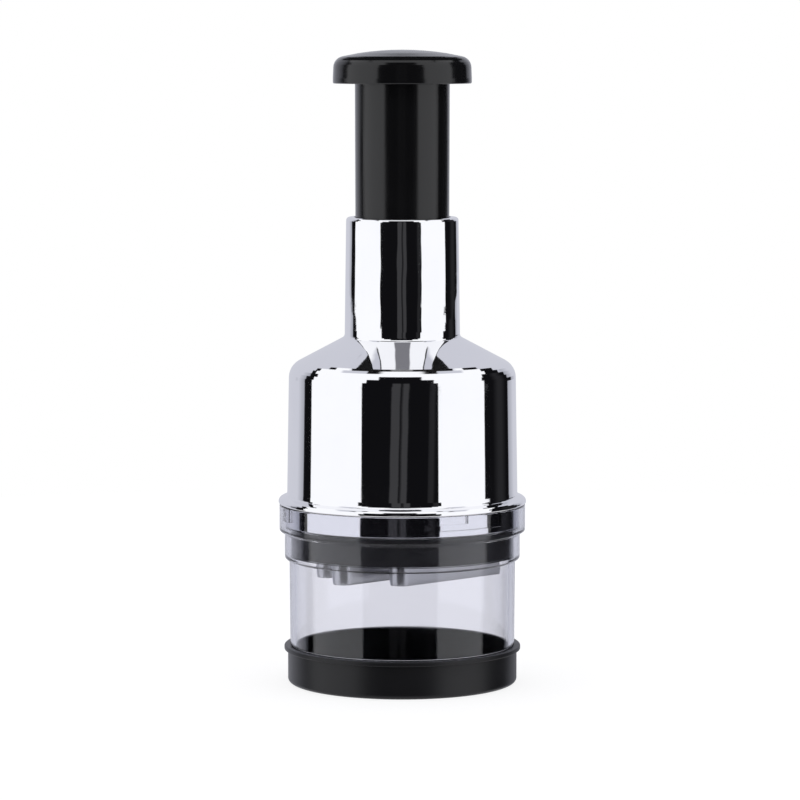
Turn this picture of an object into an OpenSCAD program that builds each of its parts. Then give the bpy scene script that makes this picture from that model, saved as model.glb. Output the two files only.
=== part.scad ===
// Plunger food chopper: a spring-loaded plunger drives a folded blade strip down
// through a wiper into a clear cup, and turns it a step between strokes.
// The axis is Z, the front is -Y, and z = 0 is the surface that the base cap stands on.

/* [Base cap] */
// Thickness of the base cap's floor, which is the chopping board
floor_t = 2; // [1.6:0.1:2.6]
// Height of the base cap
base_h = 14; // [11:0.5:18]
// Wall of the base cap
base_wall = 1.2; // [1:0.1:1.6]
// Height of the base cap's lip
lip_h = 1.7; // [1.2:0.1:2.4]
// How far the lip stands out from the cap's wall
lip_out = 1.35; // [0.8:0.05:2]
// Depth of the recess under the base cap
foot_recess = 0.6; // [0.3:0.1:0.9]

/* [Chopping cup] */
// Outer radius of the clear wall, just above the base cap
cup_r = 41.75; // [39:0.25:45]
// Thickness of the cup's walls
cup_wall = 2; // [1.7:0.1:2.3]
// How much the clear wall widens from the base cap to the step
cup_draft = 0.25; // [0:0.05:0.5]
// Height of the clear wall, from the board to the step
cup_body_h = 44.3; // [42:0.1:47]
// How far the step stands out from the clear wall
step_out = 1.7; // [1.5:0.05:2]
// Height of the step, which holds the wiper
step_h = 9.7; // [8.5:0.1:12]
// Thickness of the ledge under the wiper
ledge_t = 1.7; // [1.4:0.1:2.2]
// How far the collar stands out from the step
collar_out = 1.95; // [1.7:0.05:2.3]
// Thickness of the ledge under the housing's skirt
collar_ledge_t = 2.8; // [2.4:0.1:3.4]
// Depth of the collar above that ledge, where the bayonet locks
lock_h = 8.1; // [7.2:0.1:9.5]

/* [Housing] */
// Thickness of the chromed shell
shell_wall = 2; // [1.7:0.1:2.3]
// How far the flange stands out from the bell
flange_out = 3.15; // [2.6:0.05:3.6]
// Height of the flange
flange_h = 2.8; // [2.7:0.1:4]
// Height of the bell, from the flange's underside to the shoulder's corner
bell_h = 50.9; // [48:0.1:57]
// How much the bell narrows towards the shoulder
bell_draft = 0.85; // [0.2:0.05:1.5]
// Slope of the shoulder
shoulder_slope = 28; // [22:0.5:34]
// Radius of the round between the bell and the shoulder
shoulder_round = 6.9; // [4:0.1:9]
// Length of the neck
neck_h = 44.2; // [40:0.1:52]
// How much the neck widens towards the shoulder
neck_draft = 0.6; // [0.2:0.05:1]
// Thickness of the rim at the neck's mouth
rim_t = 1.6; // [1.2:0.1:2.4]
// Number of bayonet lugs
lug_count = 3; // [2:1:4]
// Width of a bayonet lug, in degrees
lug_angle = 19; // [14:1:22]
// Turn that unlocks the housing, in degrees
unlock_angle = 21; // [18:1:30]

/* [Plunger] */
// Outer radius of the plunger tube
tube_r = 17.5; // [17:0.1:20]
// Thickness of the plunger tube
tube_wall = 2.1; // [1.8:0.1:2.4]
// Length of plunger tube that shows at rest
plunger_out = 49.1; // [47:0.1:58]
// Outer radius of the knob
knob_r = 25.6; // [23:0.1:30]
// Height of the knob
knob_h = 12.4; // [11:0.1:16]
// Radius of the knob's crown
knob_crown_r = 105; // [80:1:200]
// Radius of the knob's rounded edge
knob_round = 4.2; // [2:0.1:5]
// Thickness of the bush in the neck
bush_wall = 0.85; // [0.7:0.05:1.6]
// Height of the rubber buffer under the plunger tube
buffer_h = 2.2; // [1.5:0.1:3.5]

/* [Blades and wiper] */
// Thickness of the blade strip
strip_t = 0.7; // [0.5:0.05:0.9]
// Outer radius of a fold in the blade strip
fold_r = 4; // [3.5:0.1:4.4]
// How far the blades stand below the wiper at rest
blade_drop = 8.1; // [6:0.1:10]
// Height of the ground edge
edge_h = 1.5; // [0.8:0.1:2.5]
// Gap between the blades' circle and the cup's bore
blade_wall_gap = 2.35; // [2.2:0.05:3.5]
// Gap between the blades and the board at full stroke
blade_floor_gap = 0.7; // [0.4:0.1:1.5]
// Thickness of the wiper's plate
wiper_t = 2; // [1.6:0.1:2.6]
// Gap between the blade strip and its slot in the wiper
slot_gap = 0.55; // [0.4:0.05:0.8]
// Thickness of the blade carrier
carrier_t = 4; // [3.6:0.1:5]
// Turn of the whole blade set as it stands in the photograph's view, in degrees
blade_heading = 50.9; // [0:0.1:90]

/* [Index drive] */
// Radius of the steel shaft
shaft_r = 4; // [3.5:0.1:4.4]
// Number of teeth on each crown
tooth_count = 8; // [6:1:10]
// Height of the teeth
tooth_h = 3; // [2.4:0.1:3.4]
// Outer radius of the index cam
cam_r = 12.2; // [11.5:0.1:12.4]
// Height of the cam between its two rows of teeth
cam_body_h = 4; // [3.6:0.1:6]
// Wall of the guide core
core_wall = 1.9; // [1.6:0.05:2]
// Wire of the return spring
wire_d = 1.4; // [1:0.1:1.6]
// Mean radius of the return spring
spring_r = 11; // [9.5:0.1:12]
// Number of turns of the return spring
spring_turns = 7; // [5:0.5:8]

/* [Hidden] */
$fn = 96;

// Clearances
seat_gap = 0.3;     // between parts that move past each other's faces
fit_gap = 0.05;     // between parts that are pressed or screwed together
run_gap = 0.1;      // round the shaft in its bearings
slide_gap = 0.35;   // round the plunger tube in its bush
lock_gap = 0.2;     // round the bayonet lugs and under the flange
skirt_gap = 0.4;    // under the housing's skirt
finger_gap = 0.5;   // between the carrier's rim and the wiper's fingers
coil_gap = 0.5;     // between the spring's closed turns
ease = 1;           // how far a cut runs past the face that it leaves

// Radii, from the cup outwards and upwards
spigot_step = 0.6;  // how far the cup's foot steps in to enter the base cap
carrier_rim = 0.6;  // how far the carrier stands out past the blades
cup_top_r = cup_r + cup_draft;
cup_bore_r = cup_r - cup_wall;
spigot_r = cup_r - spigot_step;
base_bore_r = spigot_r + seat_gap;
base_r = base_bore_r + base_wall;
lip_r = base_r + lip_out;
step_r = cup_top_r + step_out;
step_bore_r = step_r - cup_wall;
collar_r = step_r + collar_out;
collar_bore_r = collar_r - cup_wall;
skirt_r = collar_bore_r - lock_gap - fit_gap;
flange_r = collar_r + slide_gap;
bell_low_r = flange_r - flange_out;
bell_top_r = bell_low_r - bell_draft;
skirt_bore_r = bell_low_r - shell_wall;
wiper_r = step_bore_r - seat_gap;
blade_r = cup_bore_r - blade_wall_gap;
carrier_r = blade_r + carrier_rim;
bush_bore_r = tube_r + slide_gap;
bush_r = bush_bore_r + bush_wall;
neck_bore_r = bush_r + fit_gap;
neck_top_r = neck_bore_r + shell_wall;
neck_low_r = neck_top_r + neck_draft;
tube_bore_r = tube_r - tube_wall;
cap_r = tube_bore_r - seat_gap;
core_bore_r = cam_r + seat_gap + run_gap;
core_r = core_bore_r + core_wall;
crown_r = core_bore_r - fit_gap;

// Heights, from the board upwards
z_step = floor_t + cup_body_h;
z_ledge = z_step + ledge_t;
z_wiper = z_ledge + seat_gap;
z_collar = z_step + step_h;
z_seat = z_collar + collar_ledge_t;
z_skirt = z_seat + skirt_gap;
z_cup_top = z_seat + lock_h;
z_flange = z_cup_top + lock_gap;
z_shoulder = z_flange + bell_h;
z_neck = z_shoulder + (bell_top_r - neck_low_r) * tan(shoulder_slope);
z_neck_top = z_neck + neck_h;
z_knob = z_neck_top + plunger_out;
z_knob_top = z_knob + knob_h;
z_blade = z_wiper - blade_drop;
stroke = z_blade - floor_t - blade_floor_gap;
z_carrier = z_wiper + wiper_t + stroke + blade_floor_gap;
z_carrier_top = z_carrier + carrier_t;

// Base cap
foot_ring_w = 4;
foot_r = base_r - foot_ring_w;
base_round = 1.6;

// Bayonet: the locked lug starts just inside the groove, 78 degrees clockwise of +X
lug_start = -78;
lug_out = 1;
lug_r = skirt_r + lug_out;
lug_h = 1.8;
lug_rise = 2.6;
lug_z = z_skirt + lug_rise;
groove_r = lug_r + lock_gap;
groove_slack = 1;

// Wiper: a dish whose fingers clip over the bead inside the housing's skirt
wiper_top = z_skirt - seat_gap;
wiper_wall = 1.6;
finger_count = 4;
finger_angle = 14;
finger_t = 1.2;
finger_r = carrier_r + finger_gap;
bead_h = 1.3;
bead_r = finger_r + finger_t + seat_gap;
barb_r = skirt_bore_r - seat_gap;
barb_z = z_skirt + bead_h + seat_gap;
barb_h = 1.1;

// Guide core, on three bosses under the shoulder
core_drop = 8;
z_core = z_shoulder - core_drop;
core_flange_t = 3;
core_floor_t = 2.5;
z_core_bore = z_core - core_flange_t + core_floor_t;
boss_count = 3;
boss_r = 4;
ear_margin = 1;     // how far the core's ears and flange stand out round what they carry
boss_circle_r = 31;
screw_r = 1.45;
screw_length = 10;
screw_head_r = 3;
screw_head_h = 2;
key_w = 2.4;
key_depth = 0.8;

// Index drive, from the lower crown up; the gap between the crowns is set by the stroke
pitch = 360 / tooth_count;
tooth_inner_r = 8;
backlash = 4;       // degrees between a cam tooth and the upright face that stops it
tooth_space = 2;    // degrees between two teeth of a crown
crown_t = 3;
shaft_bore_r = shaft_r + run_gap;
tooth_slope = atan(tooth_h / 2 / (cam_r * sin(pitch / 2)));
z_lower_mid = z_core_bore + crown_t + tooth_h / 2;
z_cam_low_mid = z_lower_mid + seat_gap + stroke;
z_cam_high_mid = z_cam_low_mid + tooth_h + cam_body_h;
z_upper_mid = z_cam_high_mid + seat_gap;
z_core_top = z_upper_mid + tooth_h / 2 + crown_t;
cap_t = 2;
cap_skirt_h = 3;
z_cap_top = z_core_top + cap_t;
seat_t = 0.8;
z_seat_top = z_cap_top + seat_t;
pin_r = 1.2;
pin_grip = 2;       // how far the pin reaches past the teeth's inner radius
pin_length = 2 * (tooth_inner_r + pin_grip);
z_pin = (z_cam_low_mid + z_cam_high_mid) / 2;

// Plunger
z_tube = z_core + buffer_h + seat_gap + stroke;
tube_draft = 0.2;
foot_bead_h = 1.8;
foot_bead_r = neck_bore_r - slide_gap;
web_t = 2.5;
web_rise = 1.2;
z_web_top = z_knob + web_rise;
z_web = z_web_top - web_t;
socket_h = 4.7;
swivel_step = 1.2;
swivel_r = shaft_r - swivel_step;
washer_r = 6;
washer_t = 1;
z_swivel = z_web_top + run_gap;
swivel_head_r = 4.5;
swivel_head_h = 2.4;
swivel_length = 8;

// Blade carrier and its screw
hub_wall = 4;
hub_r = shaft_r + hub_wall;
hub_h = 7.5;
flat_cut = 0.7;
drive_flat = 2 * (shaft_r - flat_cut);
shaft_inset = 3.3;
z_shaft = z_carrier + shaft_inset;
carrier_web = 1.4;
counterbore_r = 4.6;
carrier_head_r = 4.2;
groove_depth = 2.8;
screw_core_r = 2;
carrier_length = 9;
rib_count = 6;
rib_w = 1.8;
rib_h = 2.5;
rib_inset = 3;

// Return spring: both ends have closed turns, the turns between take up the rest
closed_turns = 1;
closed_pitch = wire_d + coil_gap;
z_spring = z_seat_top + seat_gap + wire_d / 2;
spring_h = z_web - seat_gap - wire_d / 2 - z_spring;
open_turns = spring_turns - 2 * closed_turns;
open_pitch = (spring_h - 2 * closed_turns * closed_pitch) / open_turns;
rings_per_turn = 8;

// --- Outlines -------------------------------------------------------------

function unit(v) = v / norm(v);
function along(v) = atan2(v[1], v[0]);
function wrap(a) = a > 180 ? a - 360 : (a <= -180 ? a + 360 : a);

// Points of the arc of radius r that rounds corner b between a and c
function corner(a, b, c, r, n = 6) =
    let (u = unit(a - b), v = unit(c - b))
    let (half = acos(u * v) / 2)
    let (centre = b + unit(u + v) * r / sin(half))
    let (from = along(b + u * r / tan(half) - centre))
    let (turn = wrap(along(b + v * r / tan(half) - centre) - from))
    [for (i = [0 : n]) centre + r * [cos(from + turn * i / n), sin(from + turn * i / n)]];

// An outline from points [x, y, radius], each corner rounded by its own radius
function rounded(points) =
    let (count = len(points))
    [for (i = [0 : count - 1])
        let (a = points[(i + count - 1) % count], b = points[i], c = points[(i + 1) % count])
        each b[2] == 0
            ? [[b[0], b[1]]]
            : corner([a[0], a[1]], [b[0], b[1]], [c[0], c[1]], b[2])];

module revolve(points) {
    rotate_extrude() polygon(rounded(points));
}

module ring(r_in, r_out, z, h) {
    rotate_extrude() translate([r_in, z]) square([r_out - r_in, h]);
}

module sector(r_in, r_out, z, h, start, turn) {
    rotate([0, 0, start]) rotate_extrude(angle = turn)
        translate([r_in, z]) square([r_out - r_in, h]);
}

module at_z(z) {
    translate([0, 0, z]) children();
}

module around(count) {
    for (i = [0 : count - 1]) rotate([0, 0, i * 360 / count]) children();
}

// --- The blade strip's line --------------------------------------------------

// Centres of the folds and the two bare ends, in order along the strip, as [inset
// from the blades' circle, angle]; the last number is the side that the strip turns to
fold_line_r = fold_r - strip_t / 2;
strip_stops = [
    [0.3, 49, 0], [5.1, 142, 1], [2, 27, -1], [0, 180, 1],
    [2, -27, -1], [5.1, -142, 1], [0.3, -49, 0]
];
function stop_point(i) =
    let (r = blade_r - strip_stops[i][0] - (strip_stops[i][2] == 0 ? strip_t : fold_r))
    r * [cos(strip_stops[i][1]), sin(strip_stops[i][1])];

// Heading of the straight leg from stop i to the next one, tangent to both folds
function leg_heading(i) =
    let (across = stop_point(i + 1) - stop_point(i))
    let (shift = strip_stops[i + 1][2] - strip_stops[i][2])
    along(across) - asin(fold_line_r * shift / norm(across));

fold_steps = 10;
function fold_points(i) =
    let (side = strip_stops[i][2])
    let (from = leg_heading(i - 1))
    let (turn = side * ((side * (leg_heading(i) - from) % 360 + 360) % 360))
    [for (k = [0 : fold_steps])
        let (heading = from + turn * k / fold_steps)
        [stop_point(i)[0] + side * fold_line_r * sin(heading),
         stop_point(i)[1] - side * fold_line_r * cos(heading), heading]];

// The strip's middle line as [x, y, heading]; extra lengthens both ends
function strip_line(extra = 0) =
    let (last = len(strip_stops) - 1)
    let (a = leg_heading(0), b = leg_heading(last - 1))
    concat(
        [[stop_point(0)[0] - extra * cos(a), stop_point(0)[1] - extra * sin(a), a]],
        [for (i = [1 : last - 1]) each fold_points(i)],
        [[stop_point(last)[0] + extra * cos(b), stop_point(last)[1] + extra * sin(b), b]]);

function beside(p, offset) = [p[0] - offset * sin(p[2]), p[1] + offset * cos(p[2])];

// The strip seen from above, with a gap all round it
module strip_outline(gap) {
    line = strip_line(gap);
    half = strip_t / 2 + gap;
    polygon(concat(
        [for (p = line) beside(p, half)],
        [for (i = [len(line) - 1 : -1 : 0]) beside(line[i], -half)]));
}

// --- Swept solids -----------------------------------------------------------

// A closed skin over rows of points, each row with as many points as the first
module skin(rows) {
    sides = len(rows[0]);
    last = len(rows) - 1;
    polyhedron(
        points = [for (row = rows) each row],
        faces = concat(
            [[for (j = [0 : sides - 1]) j]],
            [for (i = [0 : last - 1]) for (j = [0 : sides - 1]) each
                let (a = i * sides + j, b = i * sides + (j + 1) % sides)
                [[a, a + sides, b], [b, a + sides, b + sides]]],
            [[for (j = [sides - 1 : -1 : 0]) last * sides + j]]));
}

// --- Cup and base -----------------------------------------------------------

module base_cap() {
    color([0.07, 0.07, 0.08]) revolve([
        [0, foot_recess, 0],
        [foot_r - foot_recess, foot_recess, 0],
        [foot_r, 0, 0],
        [base_r, 0, base_round],
        [base_r, base_h - lip_h, 0],
        [lip_r, base_h - lip_h, 0.4],
        [lip_r, base_h, 0.5],
        [base_bore_r, base_h, 0.3],
        [base_bore_r, floor_t, 0],
        [0, floor_t, 0]
    ]);
}

module bayonet_grooves() {
    groove_z = lug_z - seat_gap;
    groove_h = lug_h + 2 * seat_gap;
    groove_in = collar_bore_r - ease;
    full = lug_angle + unlock_angle + 2 * groove_slack;
    entry = lug_angle + 2 * groove_slack;
    around(lug_count) rotate([0, 0, lug_start - groove_slack + full]) mirror([0, 1, 0]) {
        sector(groove_in, groove_r, groove_z, groove_h, 0, full);
        sector(groove_in, groove_r, groove_z, z_cup_top - groove_z + ease, 0, entry);
    }
}

module chopping_cup() {
    color([0.82, 0.83, 0.86, 0.45]) difference() {
        revolve([
            [cup_bore_r, floor_t, 0.4],
            [spigot_r, floor_t, 0.4],
            [spigot_r, base_h + seat_gap, 0],
            [cup_r, base_h + seat_gap, 0.2],
            [cup_top_r, z_step, 0.4],
            [step_r, z_step, 1],
            [step_r, z_collar, 0.3],
            [collar_r, z_collar + 1, 0.8],
            [collar_r, z_cup_top, 0.5],
            [collar_bore_r, z_cup_top, 0.3],
            [collar_bore_r, z_seat, 0],
            [step_bore_r, z_seat, 0.3],
            [step_bore_r, z_ledge, 0],
            [cup_bore_r, z_ledge, 0.3]
        ]);
        bayonet_grooves();
    }
}

// --- Housing ----------------------------------------------------------------

module shell_solid() {
    z_bell = z_flange + flange_h;
    flange_drop = 1;    // how far the flange's top falls towards its edge
    crease_h = 2;
    crease_in = 0.1;
    revolve([
        [0, z_skirt, 0],
        [skirt_r, z_skirt, 0.4],
        [skirt_r, z_flange, 0],
        [flange_r, z_flange, 0.5],
        [flange_r, z_bell - flange_drop, 1.5],
        [bell_low_r, z_bell, 1],
        [bell_low_r - crease_in, z_bell + crease_h, 0],
        [bell_top_r, z_shoulder, shoulder_round],
        [neck_low_r, z_neck, 1.8],
        [neck_top_r, z_neck_top, 1.2],
        [0, z_neck_top, 0]
    ]);
}

module shell_cavity() {
    inner_rise = shell_wall / cos(shoulder_slope);
    wall_drop = shell_wall * tan(shoulder_slope);
    bore_rise = (neck_low_r - neck_bore_r) * tan(shoulder_slope);
    cavity_round = max(shoulder_round - shell_wall, 1);
    revolve([
        [0, z_skirt - ease, 0],
        [bead_r, z_skirt - ease, 0],
        [bead_r, z_skirt + bead_h, 0],
        [skirt_bore_r, z_skirt + bead_h, 0],
        [skirt_bore_r, z_flange + flange_h, 0],
        [bell_top_r - shell_wall, z_shoulder - inner_rise + wall_drop, cavity_round],
        [neck_bore_r, z_neck - inner_rise + bore_rise, 0],
        [neck_bore_r, z_neck_top - rim_t, 0],
        [bush_bore_r, z_neck_top - rim_t, 0],
        [bush_bore_r, z_neck_top + ease, 0],
        [0, z_neck_top + ease, 0]
    ]);
}

module housing_shell() {
    color([0.82, 0.83, 0.85]) {
        difference() {
            shell_solid();
            difference() {
                shell_cavity();
                around(boss_count) translate([boss_circle_r, 0, z_core])
                    cylinder(r = boss_r, h = z_neck - z_core);
            }
            around(boss_count) translate([boss_circle_r, 0, z_core - ease])
                cylinder(r = screw_r + fit_gap, h = screw_length - core_flange_t + 2 * ease);
        }
        around(lug_count) sector(skirt_r - ease, lug_r, lug_z, lug_h, lug_start, lug_angle);
    }
}

module neck_bush() {
    z_bush = z_tube + foot_bead_h + seat_gap;
    bush_h = z_neck_top - rim_t - fit_gap - z_bush;
    color([0.85, 0.85, 0.82]) ring(bush_bore_r, bush_r, z_bush, bush_h);
}

module key_grooves(z, h) {
    groove_w = key_w + 2 * seat_gap;
    around(2) translate([core_r - key_depth, -groove_w / 2, z]) cube([key_depth + ease, groove_w, h]);
}

module guide_core() {
    z_under = z_core - core_flange_t;
    ear_r = boss_r + ear_margin;
    color([0.86, 0.86, 0.83]) difference() {
        union() {
            at_z(z_under) cylinder(r = foot_bead_r + ear_margin, h = core_flange_t);
            around(boss_count) translate([0, -ear_r, z_under])
                cube([boss_circle_r, 2 * ear_r, core_flange_t]);
            around(boss_count) translate([boss_circle_r, 0, z_under]) cylinder(r = ear_r, h = core_flange_t);
            at_z(z_under) cylinder(r = core_r, h = z_core_top - z_under);
        }
        at_z(z_core_bore) cylinder(r = core_bore_r, h = z_core_top - z_core_bore + ease);
        at_z(z_under - ease) cylinder(r = shaft_bore_r + seat_gap, h = core_floor_t + 2 * ease);
        around(boss_count) translate([boss_circle_r, 0, z_under - ease])
            cylinder(r = screw_r + run_gap, h = core_flange_t + 2 * ease);
        key_grooves(z_core + buffer_h, z_core_top - z_core);
    }
}

// A pan-head screw with its head below z = 0 and a cross recess in the head
module pan_screw(r, length, head_r, head_h) {
    recess = head_h * 0.5;
    slot_w = 0.7;
    slot_l = head_r * 1.2;
    difference() {
        union() {
            cylinder(r = r, h = length);
            revolve([[0, -head_h, 0], [head_r, -head_h, head_h * 0.6], [head_r, 0, 0], [0, 0, 0]]);
        }
        for (turn = [0, 90]) rotate([0, 0, turn])
            translate([-slot_l / 2, -slot_w / 2, -head_h - ease]) cube([slot_l, slot_w, ease + recess]);
    }
}

module core_screws() {
    color([0.7, 0.7, 0.72]) around(boss_count) translate([boss_circle_r, 0, z_core - core_flange_t])
        pan_screw(screw_r, screw_length, screw_head_r, screw_head_h);
}

module buffer_ring() {
    color([0.12, 0.12, 0.12]) ring(core_r + run_gap, foot_bead_r - seat_gap, z_core, buffer_h);
}

// --- Index drive ------------------------------------------------------------

// One row of saw teeth round the axis. up = 1 stands them up from z_mid - tooth_h / 2,
// up = -1 hangs them down; rise = 1 makes their faces climb with the angle, -1 fall.
module teeth(z_mid, r_out, up, rise, turn) {
    span = 2 * r_out;
    bury = 0.5;
    around(tooth_count) intersection() {
        sector(tooth_inner_r, r_out, z_mid - tooth_h / 2 - bury, tooth_h + 2 * bury, 0, turn);
        rotate([0, 0, pitch / 2]) at_z(z_mid) rotate([rise * tooth_slope, 0, 0])
            translate([-span, -span, up > 0 ? -span : 0]) cube([2 * span, 2 * span, span]);
    }
}

module lower_crown() {
    color([0.9, 0.9, 0.88]) rotate([0, 0, pitch / 2]) {
        ring(shaft_bore_r, crown_r, z_core_bore, crown_t);
        teeth(z_lower_mid, crown_r - run_gap, 1, -1, pitch - tooth_space);
    }
}

module upper_crown() {
    color([0.9, 0.9, 0.88]) {
        ring(shaft_bore_r, crown_r, z_core_top - crown_t, crown_t);
        teeth(z_upper_mid, crown_r - run_gap, -1, 1, pitch - tooth_space);
    }
}

module core_cap() {
    color([0.9, 0.9, 0.88]) difference() {
        union() {
            ring(shaft_bore_r + seat_gap, cap_r, z_core_top, cap_t);
            ring(core_r + fit_gap, cap_r, z_core_top - cap_skirt_h, cap_skirt_h);
        }
        key_grooves(z_core_top - cap_skirt_h - ease, cap_skirt_h + cap_t + 2 * ease);
    }
}

module spring_seat() {
    inset = 2.5;
    outset = 2;
    color([0.75, 0.75, 0.77]) ring(spring_r - inset, spring_r + outset, z_cap_top, seat_t);
}

module pin_bore() {
    at_z(z_pin) rotate([0, 90, 0])
        cylinder(r = pin_r + fit_gap, h = pin_length + run_gap, center = true);
}

module index_cam() {
    z_low = z_cam_low_mid + tooth_h / 2;
    color([0.2, 0.35, 0.6]) difference() {
        union() {
            ring(shaft_r + fit_gap, cam_r, z_low, cam_body_h);
            teeth(z_cam_low_mid, cam_r - run_gap, -1, -1, pitch - backlash);
            teeth(z_cam_high_mid, cam_r - run_gap, 1, 1, pitch - backlash);
        }
        pin_bore();
    }
}

module cam_pin() {
    color([0.75, 0.75, 0.77]) at_z(z_pin) rotate([0, 90, 0])
        cylinder(r = pin_r, h = pin_length, center = true);
}

module drive_flats(width, z, h) {
    translate([-2 * shaft_r, -width / 2, z]) cube([4 * shaft_r, width, h]);
}

module drive_shaft() {
    flat_h = z_carrier_top + hub_h - z_shaft;
    tap_h = 9;
    color([0.78, 0.78, 0.8]) difference() {
        union() {
            intersection() {
                at_z(z_shaft) cylinder(r = shaft_r, h = flat_h);
                drive_flats(drive_flat, z_shaft, flat_h);
            }
            at_z(z_shaft + flat_h) cylinder(r = shaft_r, h = z_web - run_gap - z_shaft - flat_h);
            at_z(z_web - run_gap - ease) cylinder(r = swivel_r, h = z_swivel - z_web + run_gap + ease);
        }
        pin_bore();
        at_z(z_shaft - ease) cylinder(r = screw_core_r, h = tap_h + ease);
        at_z(z_swivel - tap_h) cylinder(r = screw_r, h = tap_h + ease);
    }
}

// --- Plunger ----------------------------------------------------------------

module plunger_tube() {
    tube_top = z_knob + socket_h;
    key_h = z_web - z_tube;
    color([0.05, 0.05, 0.06]) {
        difference() {
            union() {
                at_z(z_tube) cylinder(r1 = tube_r - tube_draft, r2 = tube_r, h = tube_top - z_tube);
                ring(tube_bore_r, foot_bead_r, z_tube, foot_bead_h);
            }
            at_z(z_tube - ease) cylinder(r = tube_bore_r, h = z_web - z_tube + ease);
            at_z(z_web_top) cylinder(r = tube_bore_r, h = socket_h + ease);
            at_z(z_web - ease) cylinder(r = swivel_r + run_gap, h = web_t + 2 * ease);
        }
        around(2) translate([core_r - key_depth + seat_gap, -key_w / 2, z_tube])
            cube([tube_bore_r - core_r + key_depth, key_w, key_h]);
    }
}

module plunger_knob() {
    taper = 0.3;
    edge_r = knob_r - taper;
    crown_steps = 6;
    crown_edge = edge_r - 1;
    function crown_z(r) = z_knob_top - r * r / (2 * knob_crown_r);
    socket_r = tube_r + fit_gap;
    grip_wall = 2.2;
    grip_in = socket_r + grip_wall;
    grip_out = knob_r - grip_wall;
    grip_depth = knob_h * 0.5;
    top_t = 3.5;
    color([0.05, 0.05, 0.06]) difference() {
        revolve(concat(
            [[0, z_knob, 0], [knob_r, z_knob, 0.5], [knob_r, z_knob + 2, 0]],
            [[edge_r, crown_z(edge_r), knob_round]],
            [for (i = [crown_steps - 2 : -1 : 0])
                let (r = crown_edge * i / crown_steps)
                [r, crown_z(r), 0]]));
        at_z(z_knob - ease) cylinder(r = socket_r, h = socket_h + ease + fit_gap);
        at_z(z_knob) cylinder(r = socket_r - tube_wall, h = knob_h - top_t);
        ring(grip_in, grip_out, z_knob - ease, grip_depth + ease);
    }
}

module swivel_washer() {
    color([0.78, 0.78, 0.8]) ring(screw_r + fit_gap, washer_r, z_swivel, washer_t);
}

module swivel_screw() {
    color([0.7, 0.7, 0.72]) at_z(z_swivel + washer_t) mirror([0, 0, 1])
        pan_screw(screw_r - fit_gap, swivel_length, swivel_head_r, swivel_head_h);
}

// The spring's middle line: z at a number of turns from its lower end
function spring_z(t) =
    z_spring + (t < closed_turns ? t * closed_pitch
        : t > spring_turns - closed_turns ? spring_h - (spring_turns - t) * closed_pitch
        : closed_turns * closed_pitch + (t - closed_turns) * open_pitch);
spring_steps = spring_turns * rings_per_turn;
function spring_point(i) =
    let (a = 360 * i / rings_per_turn)
    [spring_r * cos(a), spring_r * sin(a), spring_z(i / rings_per_turn)];
half_turn = rings_per_turn / 2;
least_gap = min([for (i = [0 : spring_steps - half_turn]) for (j = [i + half_turn : spring_steps])
    norm(spring_point(i) - spring_point(j)) - wire_d]);
echo("return_spring: least gap to itself in mm", least_gap);

module return_spring() {
    lean = atan(open_pitch / (2 * PI * spring_r));
    color([0.8, 0.8, 0.82]) skin([for (i = [0 : spring_steps])
        let (a = 360 * i / rings_per_turn)
        [for (k = [0 : 5]) let (s = -60 * k)
            spring_point(i) + wire_d / 2 * (cos(s) * [cos(a), sin(a), 0]
                + sin(s) * [sin(a) * sin(lean), -cos(a) * sin(lean), cos(lean)])]]);
}

// --- Blades and wiper -------------------------------------------------------

module blade_carrier() {
    seat_r = shaft_r + fit_gap;
    flat_h = z_carrier_top + hub_h - z_shaft;
    color([0.16, 0.16, 0.17]) rotate([0, 0, blade_heading]) difference() {
        union() {
            revolve([
                [0, z_carrier, 0],
                [carrier_r, z_carrier, 0.5],
                [carrier_r, z_carrier_top, 0.8],
                [0, z_carrier_top, 0]
            ]);
            at_z(z_carrier_top - ease) cylinder(r = hub_r, h = hub_h + ease);
            around(rib_count) translate([0, -rib_w / 2, z_carrier_top - ease])
                cube([carrier_r - rib_inset, rib_w, ease + rib_h]);
        }
        at_z(z_carrier - ease) linear_extrude(groove_depth + ease) strip_outline(fit_gap);
        at_z(z_carrier - ease) cylinder(r = counterbore_r, h = z_shaft - carrier_web - z_carrier + ease);
        at_z(z_carrier) cylinder(r = screw_core_r + run_gap, h = carrier_t);
        intersection() {
            at_z(z_shaft) cylinder(r = seat_r, h = flat_h + ease);
            rotate([0, 0, -blade_heading]) drive_flats(drive_flat + 2 * fit_gap, z_shaft, flat_h + ease);
        }
    }
}

module carrier_screw() {
    head_h = z_shaft - carrier_web - z_carrier - run_gap;
    color([0.7, 0.7, 0.72]) at_z(z_shaft - carrier_web)
        pan_screw(screw_core_r - fit_gap, carrier_length, carrier_head_r, head_h);
}

module zigzag_blade() {
    edge = 0.06;
    half = strip_t / 2;
    z_top = z_carrier + groove_depth - fit_gap;
    z_bevel = z_blade + edge_h;
    section = [
        [half, z_top], [-half, z_top], [-half, z_bevel],
        [-edge, z_blade], [edge, z_blade], [half, z_bevel]
    ];
    color([0.75, 0.76, 0.78]) rotate([0, 0, blade_heading]) skin([for (p = strip_line())
        [for (q = section) concat(beside(p, q[0]), q[1])]]);
}

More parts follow.
